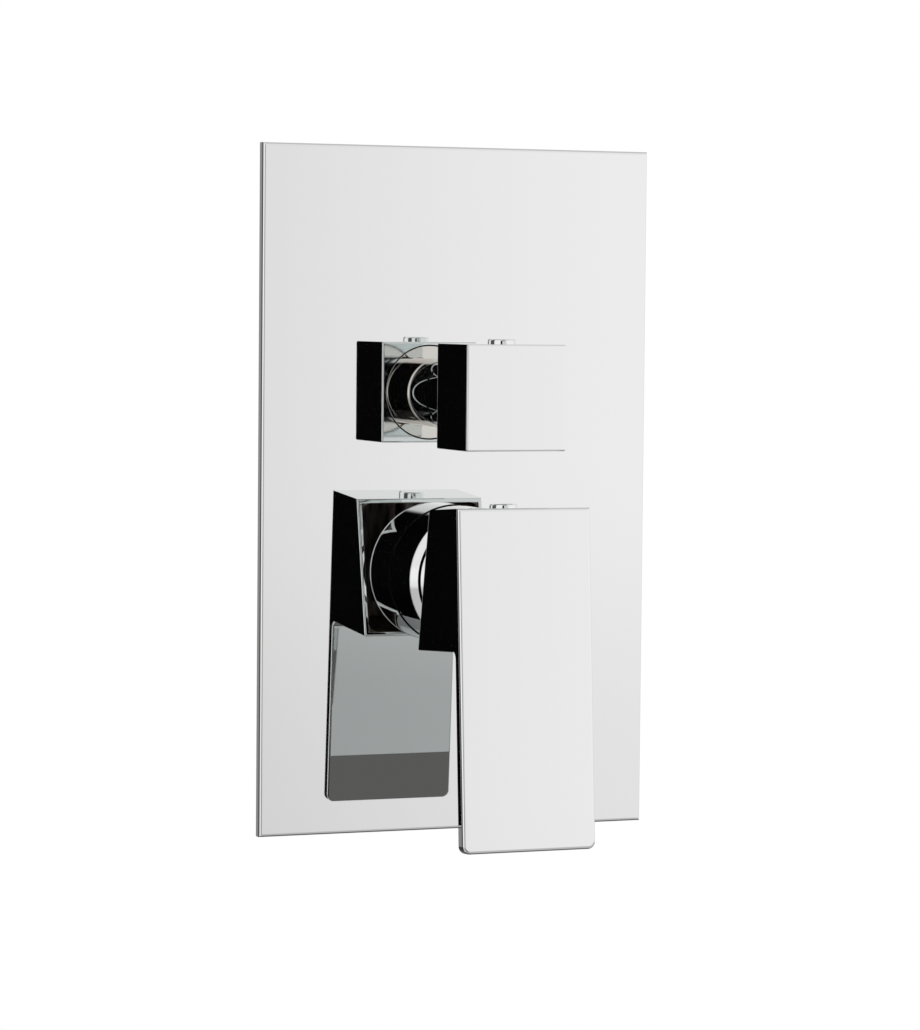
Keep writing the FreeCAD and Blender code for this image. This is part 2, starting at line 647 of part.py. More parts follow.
def lever_screw_cap():
    return at_pivot(screw_cap(LEVER_RISE, LEVER_SCREW_Y), LEVER_TILT)


def knob_grub_screw():
    return set_screw(DIVERTER_Z + SPINDLE_RADIUS - SPINDLE_FLAT, KNOB_SCREW_Y)


def knob_screw_cap():
    return screw_cap(KNOB_TOP, KNOB_SCREW_Y)


# Knob

def knob_recess():
    """The dished ring behind the knob, round its hub."""
    floor_y = KNOB_BACK - KNOB_RECESS_DEPTH
    mouth = Vector(KNOB_RECESS_RADIUS, KNOB_BACK, DIVERTER_Z)
    floor = Vector(KNOB_RECESS_FLOOR_RADIUS, floor_y, DIVERTER_Z)
    middle = (mouth + floor) / 2 + Vector(KNOB_RECESS_BELLY, -KNOB_RECESS_BELLY / 2, 0)
    hub_floor = Vector(KNOB_HUB_RADIUS, floor_y, DIVERTER_Z)
    hub_mouth = Vector(KNOB_HUB_RADIUS, KNOB_BACK, DIVERTER_Z)
    edges = [
        Part.Arc(mouth, middle, floor).toShape(),
        Part.makeLine(floor, hub_floor),
        Part.makeLine(hub_floor, hub_mouth),
        Part.makeLine(hub_mouth, mouth),
    ]
    return Part.Face(Part.Wire(edges)).revolve(Vector(0, 0, DIVERTER_Z), Y_AXIS, 360)


def knob():
    half = KNOB_SQUARE / 2
    body = block(KNOB_SQUARE, KNOB_FRONT, KNOB_BACK, DIVERTER_Z - half, DIVERTER_Z + half)
    body = body.makeFillet(KNOB_ROUND, body.Edges)
    hub = cylinder_y(KNOB_HUB_RADIUS, KNOB_BACK - KNOB_RECESS_DEPTH, KNOB_HUB_BACK, DIVERTER_Z)
    body = union(body.cut(knob_recess()), hub)
    socket = cylinder_y(SPINDLE_RADIUS + FIT, KNOB_SOCKET_FRONT, KNOB_HUB_BACK + OVERRUN, DIVERTER_Z)
    return body.cut(socket).cut(screw_hole(DIVERTER_Z, KNOB_TOP, KNOB_SCREW_Y))


# Diverter

def turned_port(radius, y0, y1, turn):
    """A round opening beside the diverter's axis, turned from straight up, clockwise from the front."""
    x = DIVERTER_PORT_OFFSET * math.sin(math.radians(turn))
    z = DIVERTER_Z + DIVERTER_PORT_OFFSET * math.cos(math.radians(turn))
    return cylinder_y(radius, y0, y1, z, x)


def outlet_turns():
    return (PORT_TURN, PORT_TURN + DIVERTER_TURN)


def diverter_headwork():
    bore = SPINDLE_RADIUS + RUN
    profile = [
        (bore, HEADWORK_FRONT),
        (HEADWORK_NECK_RADIUS, HEADWORK_FRONT),
        (HEADWORK_NECK_RADIUS, HEX_BACK),
        (HEADWORK_THREAD_RADIUS, HEX_BACK),
        (HEADWORK_THREAD_RADIUS, CAGE_FRONT),
        (CAGE_RADIUS, CAGE_FRONT),
        (CAGE_RADIUS, CAGE_BACK),
        (CAGE_INNER, CAGE_BACK),
        (CAGE_INNER, CAGE_CAVITY_FRONT),
        (bore, CAGE_CAVITY_FRONT),
    ]
    body = revolved(profile, DIVERTER_Z)
    flats = hexagon(HEX_ACROSS_FLATS, Vector(0, HEX_START, DIVERTER_Z), Y_AXIS, HEX_THICKNESS)
    flats = flats.cut(cylinder_y(SPINDLE_RADIUS + FIT, HEX_START - OVERRUN, HEX_BACK + OVERRUN, DIVERTER_Z))
    reach = CAGE_RADIUS + OVERRUN
    window = block(WINDOW_WIDTH, WINDOW_FRONT, ROTOR_FRONT, DIVERTER_Z - reach, DIVERTER_Z + reach)
    return union(body, flats).cut(window)


def headwork_washer():
    inner = HEADWORK_THREAD_RADIUS + FIT
    return ring_y(inner + WASHER_WIDTH, inner, HEX_BACK, BOSS_FACE, DIVERTER_Z)


def diverter_spindle():
    shaft = cylinder_y(SPINDLE_RADIUS, SPINDLE_FRONT, COLLAR_BACK, DIVERTER_Z)
    collar = cylinder_y(CAGE_INNER - GAP, CAGE_CAVITY_FRONT + GAP, COLLAR_BACK, DIVERTER_Z)
    half = TONGUE_LENGTH / 2
    tongue_back = ROTOR_FRONT + TONGUE_DEPTH
    tongue = block(TONGUE_WIDTH, COLLAR_BACK, tongue_back, DIVERTER_Z - half, DIVERTER_Z + half)
    spindle = union(shaft, collar, tongue)
    flat_z = DIVERTER_Z + SPINDLE_RADIUS - SPINDLE_FLAT - FIT
    flat_back = KNOB_BACK - KNOB_RECESS_DEPTH
    flat = block(2 * SPINDLE_RADIUS, SPINDLE_FRONT - OVERRUN, flat_back, flat_z, flat_z + OVERRUN)
    floor = SPINDLE_RADIUS - ORING_SECTION + RUN
    oring_seat = ring_y(SPINDLE_RADIUS + OVERRUN, floor, -ORING_SECTION, ORING_SECTION, DIVERTER_Z)
    clip_floor = SPINDLE_RADIUS - CLIP_GROOVE
    clip_seat = ring_y(SPINDLE_RADIUS + OVERRUN, clip_floor, CLIP_FRONT, CLIP_BACK, DIVERTER_Z)
    return spindle.cut(flat).cut(oring_seat).cut(clip_seat)


def spindle_oring():
    return torus_y(SPINDLE_RADIUS - ORING_SECTION + RUN, ORING_SECTION, 0, DIVERTER_Z)


def spindle_circlip():
    inner = SPINDLE_RADIUS - CLIP_GROOVE
    clip = ring_y(inner + CLIP_WIDTH, inner, CLIP_FRONT, CLIP_BACK, DIVERTER_Z)
    end = DIVERTER_Z - inner - CLIP_WIDTH - OVERRUN
    opening = block(CLIP_OPENING, CLIP_FRONT - OVERRUN, CLIP_BACK + OVERRUN, end, DIVERTER_Z)
    return clip.cut(opening)


def diverter_rotor():
    disc = cylinder_y(CAGE_INNER - GAP, ROTOR_FRONT, ROTOR_BACK, DIVERTER_Z)
    half = TONGUE_LENGTH / 2 + FIT
    width = TONGUE_WIDTH + 2 * FIT
    slot_back = ROTOR_FRONT + TONGUE_DEPTH + FIT
    slot = block(width, ROTOR_FRONT - OVERRUN, slot_back, DIVERTER_Z - half, DIVERTER_Z + half)
    port = turned_port(DIVERTER_PORT_RADIUS, ROTOR_FRONT - OVERRUN, ROTOR_BACK + OVERRUN, PORT_TURN)
    return disc.cut(slot).cut(port)


def diverter_stator():
    disc = cylinder_y(CAGE_INNER - FIT, STATOR_FRONT, CAGE_BACK, DIVERTER_Z)
    front = STATOR_FRONT - OVERRUN
    back = CAGE_BACK + OVERRUN
    for turn in outlet_turns():
        disc = disc.cut(turned_port(DIVERTER_PORT_RADIUS, front, back, turn))
    return disc


def diverter_seat_seal():
    return ring_y(CAGE_RADIUS, CAGE_RADIUS - SEAT_SEAL_WIDTH, CAGE_BACK, CHAMBER_BACK, DIVERTER_Z)


# Valve body

def thread_mouths():
    """The middle of each pipe thread's mouth, hot, cold, upper and lower, and its direction inwards."""
    return [
        (Vector(-INLET_REACH, INLET_Y, MIXER_Z), X_AXIS),
        (Vector(INLET_REACH, INLET_Y, MIXER_Z), -X_AXIS),
        (Vector(0, COLUMN_Y, OUTLET_TOP), -Z_AXIS),
        (Vector(0, COLUMN_Y, OUTLET_BOTTOM), Z_AXIS),
    ]


def cast_boss(radius, front, back, z):
    """A round boss with its back rim rounded."""
    boss = cylinder_y(radius, front, back, z)
    return boss.makeFillet(CAST_ROUND, rim(boss, back, radius))


def blended(shape, axis, test):
    """The casting shape with a cast round where its pipe along axis meets what passes test."""
    edges = []
    for face in shape.Faces:
        surface = face.Surface
        is_round = surface.TypeId == "Part::GeomCylinder" and is_near(surface.Radius, PIPE_RADIUS)
        if is_round and abs(surface.Axis.dot(axis)) > PARALLEL:
            edges += [edge for edge in face.Edges if not edge.isSeam(face) and test(edge.CenterOfMass)]
    return shape.makeFillet(CAST_ROUND, edges) if edges else shape


def inlet_arms():
    """The pipe to both inlets, six-sided all along where the collars leave no pipe to see."""
    if INLET_REACH - COLLAR_LENGTH > MIXER_BOSS_RADIUS + CAST_ROUND:
        return cylinder_x(PIPE_RADIUS, -INLET_REACH, INLET_REACH, INLET_Y, MIXER_Z)
    return hexagon(COLLAR_ACROSS_FLATS, *thread_mouths()[0], 2 * INLET_REACH)


def body_casting():
    """The outside of the valve body, before its channels are cut."""
    mixer_boss = cast_boss(MIXER_BOSS_RADIUS, HEX_START, MIXER_BOSS_BACK, MIXER_Z)
    core = blended(union(mixer_boss, inlet_arms()), X_AXIS, lambda m: abs(m.x) < MIXER_BOSS_RADIUS)
    diverter_boss = cast_boss(DIVERTER_BOSS_RADIUS, BOSS_FACE, DIVERTER_BOSS_BACK, DIVERTER_Z)
    column = cylinder_z(PIPE_RADIUS, OUTLET_BOTTOM, OUTLET_TOP, COLUMN_Y)
    tower = union(diverter_boss, column)
    tower = blended(tower, Z_AXIS, lambda m: abs(m.z - DIVERTER_Z) < DIVERTER_BOSS_RADIUS)
    casting = blended(union(core, tower), Z_AXIS, lambda m: abs(m.z - MIXER_Z) < MIXER_BOSS_RADIUS)
    riser = cylinder_z(RISER_RADIUS + RISER_WALL, MIXER_Z, DIVERTER_Z, INLET_Y)
    neck = cylinder_y(NECK_RADIUS, NUT_SHOULDER, HEX_START, MIXER_Z)
    collars = [hexagon(COLLAR_ACROSS_FLATS, *mouth, COLLAR_LENGTH) for mouth in thread_mouths()]
    lugs = [lug_bar(z) for z in (LUG_TOP_Z, LUG_BOTTOM_Z)]
    return union(casting, riser, neck, *collars, *lugs)


def lug_bar(z):
    """A flat bar across the column, with a round end about each fixing hole."""
    back = COLUMN_Y + LUG_THICKNESS / 2
    front = COLUMN_Y - LUG_THICKNESS / 2
    half = LUG_HEIGHT / 2
    ends = [cylinder_y(half, front, back, z, side * LUG_SPACING / 2) for side in (-1, 1)]
    bar = union(block(LUG_SPACING, front, back, z - half, z + half), *ends)
    for side in (-1, 1):
        hole = cylinder_y(LUG_HOLE_RADIUS, front - OVERRUN, back + OVERRUN, z, side * LUG_SPACING / 2)
        bar = bar.cut(hole)
    return bar


def body_channels():
    """The space that the water and the two cartridges fill inside the body."""
    hot, cold, mixed = cartridge_ports()
    inner_end = INLET_SPREAD - PORT_RADIUS - WEB / 2
    riser_foot = MIXER_Z + CHANNEL_RADIUS + WEB
    cuts = [
        cylinder_y(CAVITY_RADIUS, NUT_SHOULDER - OVERRUN, CAVITY_BACK, MIXER_Z),
        cylinder_y(HEADWORK_THREAD_RADIUS + FIT, BOSS_FACE - OVERRUN, CAGE_FRONT + FIT, DIVERTER_Z),
        cylinder_y(CHAMBER_RADIUS, BOSS_FACE, CHAMBER_BACK, DIVERTER_Z),
        cylinder_x(CHANNEL_RADIUS, -INLET_REACH, -inner_end, INLET_Y, MIXER_Z),
        cylinder_x(CHANNEL_RADIUS, inner_end, INLET_REACH, INLET_Y, MIXER_Z),
        cylinder_z(RISER_RADIUS, riser_foot, DIVERTER_Z, INLET_Y),
        cylinder_z(CHANNEL_RADIUS, DIVERTER_Z + WEB / 2, OUTLET_TOP, COLUMN_Y),
        cylinder_z(CHANNEL_RADIUS, OUTLET_BOTTOM, DIVERTER_Z - WEB / 2, COLUMN_Y),
    ]
    cuts += [cylinder_y(PORT_RADIUS, CAVITY_BACK - OVERRUN, INLET_Y, z, x) for x, z in (hot, cold, mixed)]
    cuts += [turned_port(DIVERTER_PORT_RADIUS, CAGE_BACK, COLUMN_Y, turn) for turn in outlet_turns()]
    return cuts


def body_threads():
    """The plain bores of the four pipe threads, each with a bevelled mouth."""
    wide = THREAD_RADIUS + THREAD_BEVEL
    bores = []
    for mouth, inwards in thread_mouths():
        bores.append(Part.makeCylinder(THREAD_RADIUS, THREAD_LENGTH, mouth, inwards))
        bores.append(Part.makeCone(wide, THREAD_RADIUS, THREAD_BEVEL, mouth, inwards))
    return bores


def valve_body():
    body = body_casting()
    for tool in body_channels() + body_threads():
        body = body.cut(tool)
    return body


PIECES = {
    "wall_plate": wall_plate,
    "plate_gasket": plate_gasket,
    "mixer_plate_ring": lambda: plate_ring(MIXER_SLEEVE_RADIUS, MIXER_Z),
    "diverter_plate_ring": lambda: plate_ring(DIVERTER_SLEEVE_RADIUS, DIVERTER_Z),
    "mixer_sleeve": mixer_sleeve,
    "diverter_sleeve": diverter_sleeve,
    "valve_body": valve_body,
    "cartridge_nut": cartridge_nut,
    "cartridge_housing": cartridge_housing,
    "cartridge_base": cartridge_base,
    "cartridge_seals": cartridge_seals,
    "fixed_disc": fixed_disc,
    "moving_disc": moving_disc,
    "disc_carrier": disc_carrier,
    "turret": turret,
    "pivot_pin": pivot_pin,
    "lever_stem": lever_stem,
    "lever": lever,
    "lever_grub_screw": lever_grub_screw,
    "lever_screw_cap": lever_screw_cap,
    "knob": knob,
    "knob_grub_screw": knob_grub_screw,
    "knob_screw_cap": knob_screw_cap,
    "diverter_headwork": diverter_headwork,
    "headwork_washer": headwork_washer,
    "diverter_spindle": diverter_spindle,
    "spindle_oring": spindle_oring,
    "spindle_circlip": spindle_circlip,
    "diverter_rotor": diverter_rotor,
    "diverter_stator": diverter_stator,
    "diverter_seat_seal": diverter_seat_seal,
}

os.makedirs("parts", exist_ok=True)
for name, make in PIECES.items():
    shape = make()
    shape.exportStep(f"parts/{name}.step")
    print(f"{name}: {len(shape.Solids)} solid, {shape.Volume / 1000:.2f} cm3, valid {shape.isValid()}")
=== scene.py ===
"""Looks of the concealed shower mixer: its finishes, pipe threads, turned rings, studio and camera.

Lengths are in metres, in the part's own frame: x to the right, y into the wall, z up.
"""
import json
import math

import bpy
from mathutils import Matrix, Vector

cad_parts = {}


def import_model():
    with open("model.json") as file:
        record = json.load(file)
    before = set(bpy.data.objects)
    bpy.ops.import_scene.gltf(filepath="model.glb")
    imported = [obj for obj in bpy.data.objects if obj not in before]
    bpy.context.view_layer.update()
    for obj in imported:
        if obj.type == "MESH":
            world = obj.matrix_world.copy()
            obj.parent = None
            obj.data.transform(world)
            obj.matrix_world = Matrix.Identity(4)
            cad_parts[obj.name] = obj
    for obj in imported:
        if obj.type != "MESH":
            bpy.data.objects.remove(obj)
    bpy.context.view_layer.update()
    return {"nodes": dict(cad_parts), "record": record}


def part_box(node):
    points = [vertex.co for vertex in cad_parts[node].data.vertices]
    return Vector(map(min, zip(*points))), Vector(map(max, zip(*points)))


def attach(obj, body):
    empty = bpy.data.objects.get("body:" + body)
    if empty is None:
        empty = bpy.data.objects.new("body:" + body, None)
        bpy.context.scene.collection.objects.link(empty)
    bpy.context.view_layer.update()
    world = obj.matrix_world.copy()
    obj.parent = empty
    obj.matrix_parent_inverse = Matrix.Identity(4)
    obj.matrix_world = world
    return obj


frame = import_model()
MM = 0.001
NODES = frame["nodes"]
RECORD = frame["record"]

# Camera, fitted to the corners of the plate, the knob and the lever in the photograph
IMAGE_HEIGHT = 1030
FOCAL_PIXELS = 3620.1
SENSOR = 36.0
CLIP_START = 0.01
CAMERA_PLACE = Vector((-0.3779, -0.9939, 0.0515))
CAMERA_YAW = math.radians(20.956)
CAMERA_PITCH = math.radians(-3.183)
CAMERA_ROLL = math.radians(0.520)

# Places on the part
PLATE_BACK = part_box("wall_plate")[1].y
KNOB_AXIS = Vector((0.0, 0.0, 28 * MM))
KNOB_RECESS_RADIUS = 14.2 * MM
KNOB_HUB_RADIUS = 6.6 * MM
KNOB_BACK = -27.0 * MM
SLEEVE_BEVEL = 1.7 * MM
LEVER_PIVOT = Vector((0.0, -20 * MM, -25 * MM))
LEVER_TILT = math.radians(4.0)
PIPE_COLLAR_LENGTH = 16 * MM
BOSS_FACE = 12 * MM

# The hollow in the lever's head, from the pivot and along the tilted lever
HOLLOW_HALF_WIDTH = 18.6 * MM
HOLLOW_FRONT = -36.0 * MM
HOLLOW_TOP = 18.4 * MM
HOLLOW_BOTTOM = -18.8 * MM


# Material helpers

MIX_FACTOR, MIX_FIRST_COLOUR, MIX_SECOND_COLOUR = 0, 6, 7  # inputs of a colour mix
MIX_COLOUR = 2  # its output


def new_material(name, **sockets):
    """A material with a Principled shader, whose sockets are set by name with _ for each space."""
    material = bpy.data.materials.new(name)
    material.use_nodes = True
    shader = material.node_tree.nodes["Principled BSDF"]
    for key, value in sockets.items():
        shader.inputs[key.replace("_", " ")].default_value = value
    return material


def add_node(material, kind, **inputs):
    """A new node whose inputs are set, or linked where the value is another node's output."""
    node = material.node_tree.nodes.new(kind)
    for key, value in inputs.items():
        plug(material, node.inputs[key.replace("_", " ")], value)
    return node


def plug(material, socket, value):
    if isinstance(value, bpy.types.NodeSocket):
        material.node_tree.links.new(value, socket)
    else:
        socket.default_value = value


def math_node(material, operation, first, second=0.0):
    node = material.node_tree.nodes.new("ShaderNodeMath")
    node.operation = operation
    plug(material, node.inputs[0], first)
    plug(material, node.inputs[1], second)
    return node.outputs["Value"]


def feed(material, socket, output):
    shader = material.node_tree.nodes["Principled BSDF"]
    material.node_tree.links.new(output, shader.inputs[socket])


def place_output(material):
    """The point of the piece in the part's frame at rest."""
    return add_node(material, "ShaderNodeTexCoord").outputs["Object"]


def moved(material, place, shift, turn=0.0):
    """The point after a shift and then a turn about x."""
    shifted = material.node_tree.nodes.new("ShaderNodeVectorMath")
    plug(material, shifted.inputs[0], place)
    plug(material, shifted.inputs[1], shift)
    turned = add_node(material, "ShaderNodeMapping", Vector=shifted.outputs["Vector"])
    turned.inputs["Rotation"].default_value = (turn, 0.0, 0.0)
    return turned.outputs["Vector"]


def axes(material, place):
    node = add_node(material, "ShaderNodeSeparateXYZ", Vector=place)
    return node.outputs["X"], node.outputs["Y"], node.outputs["Z"]


def off_axis(material, first, second):
    """The distance from an axis, given both coordinates across it."""
    squares = [math_node(material, "MULTIPLY", value, value) for value in (first, second)]
    return math_node(material, "SQRT", math_node(material, "ADD", *squares))


def noise(material, place, scale, detail):
    node = add_node(material, "ShaderNodeTexNoise", Vector=place, Scale=scale, Detail=detail)
    return node.outputs["Fac"]


def span(material, value, low, high, from_low=0.0, from_high=1.0):
    """The value, spread from from_low and from_high to low and high."""
    node = add_node(material, "ShaderNodeMapRange", Value=value, To_Min=low, To_Max=high)
    node.inputs["From Min"].default_value = from_low
    node.inputs["From Max"].default_value = from_high
    return node.outputs["Result"]


def below(material, value, limit):
    return math_node(material, "LESS_THAN", value, limit)


def above(material, value, limit):
    return math_node(material, "GREATER_THAN", value, limit)


def all_of(material, *masks):
    result = masks[0]
    for mask in masks[1:]:
        result = math_node(material, "MULTIPLY", result, mask)
    return result


def any_of(material, *masks):
    result = masks[0]
    for mask in masks[1:]:
        result = math_node(material, "MAXIMUM", result, mask)
    return result


def blend(material, mask, first, second):
    """The value first where mask is 0 and second where it is 1."""
    node = add_node(material, "ShaderNodeMix", Factor=mask)
    plug(material, node.inputs["A"], first)
    plug(material, node.inputs["B"], second)
    return node.outputs["Result"]


def blend_colour(material, mask, first, second):
    node = material.node_tree.nodes.new("ShaderNodeMix")
    node.data_type = "RGBA"
    plug(material, node.inputs[MIX_FACTOR], mask)
    plug(material, node.inputs[MIX_FIRST_COLOUR], first)
    plug(material, node.inputs[MIX_SECOND_COLOUR], second)
    return node.outputs[MIX_COLOUR]


def ramp(material, value, stops):
    """A colour that follows value through (position, colour) stops."""
    node = add_node(material, "ShaderNodeValToRGB", Fac=value)
    elements = node.color_ramp.elements
    for index, (position, colour) in enumerate(stops):
        element = elements[index] if index < len(elements) else elements.new(position)
        element.position = position
        element.color = (*colour, 1.0)
    return node.outputs["Color"]


def bump(material, height, strength, distance):
    node = add_node(material, "ShaderNodeBump", Height=height, Strength=strength, Distance=distance)
    feed(material, "Normal", node.outputs["Normal"])


# Chrome. A grain, streak or mark is a noise's scale and detail, a bump its strength and distance,
# and a skin is how far a finish reaches past the face that it belongs to.

CHROME = (0.845, 0.872, 0.868, 1.0)
POLISH_MARKS = (45.0, 3.0)
POLISH_ROUGHNESS = (0.010, 0.024)

PLATE_BACK_SKIN = 0.1 * MM
PLATE_BACK_GRAIN = (260.0, 6.0)
PLATE_BACK_COLOURS = [(0.3, (0.40, 0.40, 0.41)), (0.7, (0.52, 0.52, 0.53))]
PLATE_BACK_ROUGHNESS = (0.28, 0.42)

KNOB_BACK_SKIN = 0.2 * MM
KNOB_BACK_ROUGHNESS = 0.06

COLLAR_COLOUR = (0.90, 0.845, 0.80, 1.0)
COLLAR_TURNING = 0.25 * MM  # between the marks of the tool
COLLAR_ROUGHNESS = (0.018, 0.034)

HOLLOW_SKIN = 0.15 * MM
HOLLOW_STRETCH = (1.0, 0.3, 0.15)
HOLLOW_STREAKS = (700.0, 5.0)
# The casting's tone inside the lever's head, darkened as painted shade in the hollow
HOLLOW_SHADE_COLOURS = [(0.35, (0.07, 0.055, 0.048)), (0.65, (0.27, 0.225, 0.2))]
HOLLOW_ROUGHNESS = (0.36, 0.52)
HOLLOW_BUMP = (0.5, 0.15 * MM)


def polish(material, place):
    """The roughness of polished plate, with faint wiping marks."""
    return span(material, noise(material, place, *POLISH_MARKS), *POLISH_ROUGHNESS)


def chrome():
    material = new_material("chrome", Base_Color=CHROME, Metallic=1.0)
    feed(material, "Roughness", polish(material, place_output(material)))
    return material


def plate_chrome():
    """Polished in front and at the edges, dull behind."""
    material = new_material("plate_chrome", Metallic=1.0)
    place = place_output(material)
    behind = above(material, axes(material, place)[1], PLATE_BACK - PLATE_BACK_SKIN)
    grain = noise(material, place, *PLATE_BACK_GRAIN)
    dull = ramp(material, grain, PLATE_BACK_COLOURS)
    feed(material, "Base Color", blend_colour(material, behind, CHROME, dull))
    rough = span(material, grain, *PLATE_BACK_ROUGHNESS)
    feed(material, "Roughness", blend(material, behind, polish(material, place), rough))
    return material


def knob_chrome():
    """Polished, and satin on the face behind."""
    material = new_material("knob_chrome", Base_Color=CHROME, Metallic=1.0)
    place = place_output(material)
    behind = above(material, axes(material, place)[1], KNOB_BACK - KNOB_BACK_SKIN)
    rough = blend(material, behind, polish(material, place), KNOB_BACK_ROUGHNESS)
    feed(material, "Roughness", rough)
    return material


def turned_collar():
    """Bright and a little warm, with the marks of turning."""
    material = new_material("turned_collar", Base_Color=COLLAR_COLOUR, Metallic=1.0)
    x, _, z = axes(material, moved(material, place_output(material), -KNOB_AXIS))
    turns = math_node(material, "MULTIPLY", off_axis(material, x, z), 1 / COLLAR_TURNING)
    marks = math_node(material, "FRACT", turns)
    feed(material, "Roughness", span(material, marks, *COLLAR_ROUGHNESS))
    return material


def lever_chrome():
    """Polished outside; inside the head a dull casting, its colour darkened as painted shade."""
    material = new_material("lever_chrome", Metallic=1.0)
    place = place_output(material)
    local = moved(material, place, -LEVER_PIVOT, LEVER_TILT)
    x, y, z = axes(material, local)
    hollow = all_of(
        material,
        below(material, math_node(material, "ABSOLUTE", x), HOLLOW_HALF_WIDTH + HOLLOW_SKIN),
        above(material, y, HOLLOW_FRONT - HOLLOW_SKIN),
        below(material, z, HOLLOW_TOP + HOLLOW_SKIN),
        above(material, z, HOLLOW_BOTTOM - HOLLOW_SKIN),
    )
    stretched = add_node(material, "ShaderNodeMapping", Vector=local)
    stretched.inputs["Scale"].default_value = HOLLOW_STRETCH
    cast = noise(material, stretched.outputs["Vector"], *HOLLOW_STREAKS)
    # Painted shade: the colour inside the hollow is darkened to stand in for the hollow's shade,
    # over the casting's dull tone
    dull = ramp(material, cast, HOLLOW_SHADE_COLOURS)
    feed(material, "Base Color", blend_colour(material, hollow, CHROME, dull))
    rough = span(material, cast, *HOLLOW_ROUGHNESS)
    feed(material, "Roughness", blend(material, hollow, polish(material, place), rough))
    bump(material, math_node(material, "MULTIPLY", hollow, cast), *HOLLOW_BUMP)
    return material


# Other materials

BRASS_STAIN = (60.0, 4.0)
BRASS_COLOURS = [(0.3, (0.66, 0.48, 0.22)), (0.7, (0.80, 0.63, 0.34))]
BRASS_MARKS = (500.0, 3.0)
BRASS_ROUGHNESS = (0.16, 0.28)

CAST_COLOURS = [(0.3, (0.46, 0.31, 0.13)), (0.7, (0.63, 0.46, 0.22))]
CAST_GRAIN = (1100.0, 6.0)
CAST_ROUGHNESS = (0.42, 0.62)
CAST_BUMP = (0.6, 0.35 * MM)

MACHINED_SKIN = 0.1 * MM
MACHINED_COLOURS = [(0.3, (0.68, 0.50, 0.23)), (0.7, (0.80, 0.63, 0.34))]
MACHINED_ROUGHNESS = 0.2

STEEL_COLOUR = (0.6, 0.6, 0.61, 1.0)
STEEL_MARKS = (400.0, 3.0)
STEEL_ROUGHNESS = (0.2, 0.34)

MOULDED_GRAIN = (1500.0, 4.0)
MOULDED_SPREAD = 0.06
MOULDED_BUMP = (0.2, 0.05 * MM)

FOAM_ROUGHNESS = 0.95
FOAM_CELLS = 2200.0
FOAM_COLOURS = [(0.0, (0.20, 0.20, 0.21)), (0.6, (0.10, 0.10, 0.11))]
FOAM_BUMP = (0.5, 0.2 * MM)


def turned_brass():
    material = new_material("turned_brass", Metallic=1.0)
    place = place_output(material)
    stain = noise(material, place, *BRASS_STAIN)
    feed(material, "Base Color", ramp(material, stain, BRASS_COLOURS))
    marks = noise(material, place, *BRASS_MARKS)
    feed(material, "Roughness", span(material, marks, *BRASS_ROUGHNESS))
    return material


def cast_brass():
    """Grainy where it was cast, smooth on the collars and the faces that were machined."""
    material = new_material("cast_brass", Metallic=1.0)
    place = place_output(material)
    low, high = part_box("valve_body")
    x, y, z = axes(material, place)
    reach = PIPE_COLLAR_LENGTH + MACHINED_SKIN
    machined = any_of(
        material,
        above(material, math_node(material, "ABSOLUTE", x), high.x - reach),
        above(material, z, high.z - reach),
        below(material, z, low.z + reach),
        below(material, y, BOSS_FACE + MACHINED_SKIN),
    )
    stain = noise(material, place, *BRASS_STAIN)
    grain = noise(material, place, *CAST_GRAIN)
    cast = ramp(material, stain, CAST_COLOURS)
    bright = ramp(material, stain, MACHINED_COLOURS)
    feed(material, "Base Color", blend_colour(material, machined, cast, bright))
    rough_cast = span(material, grain, *CAST_ROUGHNESS)
    feed(material, "Roughness", blend(material, machined, rough_cast, MACHINED_ROUGHNESS))
    as_cast = math_node(material, "SUBTRACT", 1.0, machined)
    bump(material, math_node(material, "MULTIPLY", grain, as_cast), *CAST_BUMP)
    return material


def steel():
    material = new_material("steel", Base_Color=STEEL_COLOUR, Metallic=1.0)
    marks = noise(material, place_output(material), *STEEL_MARKS)
    feed(material, "Roughness", span(material, marks, *STEEL_ROUGHNESS))
    return material


def moulded(name, colour, rough):
    material = new_material(name, Base_Color=(*colour, 1.0))
    grain = noise(material, place_output(material), *MOULDED_GRAIN)
    spread = span(material, grain, rough - MOULDED_SPREAD, rough + MOULDED_SPREAD)
    feed(material, "Roughness", spread)
    bump(material, grain, *MOULDED_BUMP)
    return material


def foam():
    material = new_material("foam", Roughness=FOAM_ROUGHNESS)
    place = place_output(material)
    cells = add_node(material, "ShaderNodeTexVoronoi", Vector=place, Scale=FOAM_CELLS)
    depth = cells.outputs["Distance"]
    feed(material, "Base Color", ramp(material, depth, FOAM_COLOURS))
    bump(material, depth, *FOAM_BUMP)
    return material


BY_SLOT = {
    "chrome": chrome(),
    "brass": turned_brass(),
    "steel": steel(),
    "cartridge_plastic": moulded("cartridge_plastic", colour=(0.84, 0.84, 0.80), rough=0.42),
    "core_plastic": moulded("core_plastic", colour=(0.05, 0.055, 0.065), rough=0.4),
    "ceramic": moulded("ceramic", colour=(0.90, 0.88, 0.83), rough=0.2),
    "rubber": moulded("rubber", colour=(0.025, 0.025, 0.025), rough=0.62),
    "foam": foam(),
}
BY_NODE = {
    "wall_plate": plate_chrome(),
    "knob": knob_chrome(),
    "lever": lever_chrome(),
    "valve_body": cast_brass(),
}
for part in RECORD["subparts"]:
    mesh = NODES[part["node"]].data
    mesh.materials.clear()
    mesh.materials.append(BY_NODE.get(part["node"], BY_SLOT[part["material_slot"]]))


# Pieces

def new_piece(name, points, faces, material):
    mesh = bpy.data.meshes.new(name)
    mesh.from_pydata(points, [], faces)
    mesh.materials.append(material)
    piece = bpy.data.objects.new(name, mesh)
    bpy.context.scene.collection.objects.link(piece)
    return piece


def skin(loops, sides, closed):
    """The faces between loops of points, and from the last loop to the first where closed."""
    faces = []
    for loop in range(loops if closed else loops - 1):
        here = loop * sides
        there = (loop + 1) % loops * sides
        for side in range(sides):
            beside = (side + 1) % sides
            faces.append((here + side, here + beside, there + beside, there + side))
    return faces


# Half-inch pipe threads

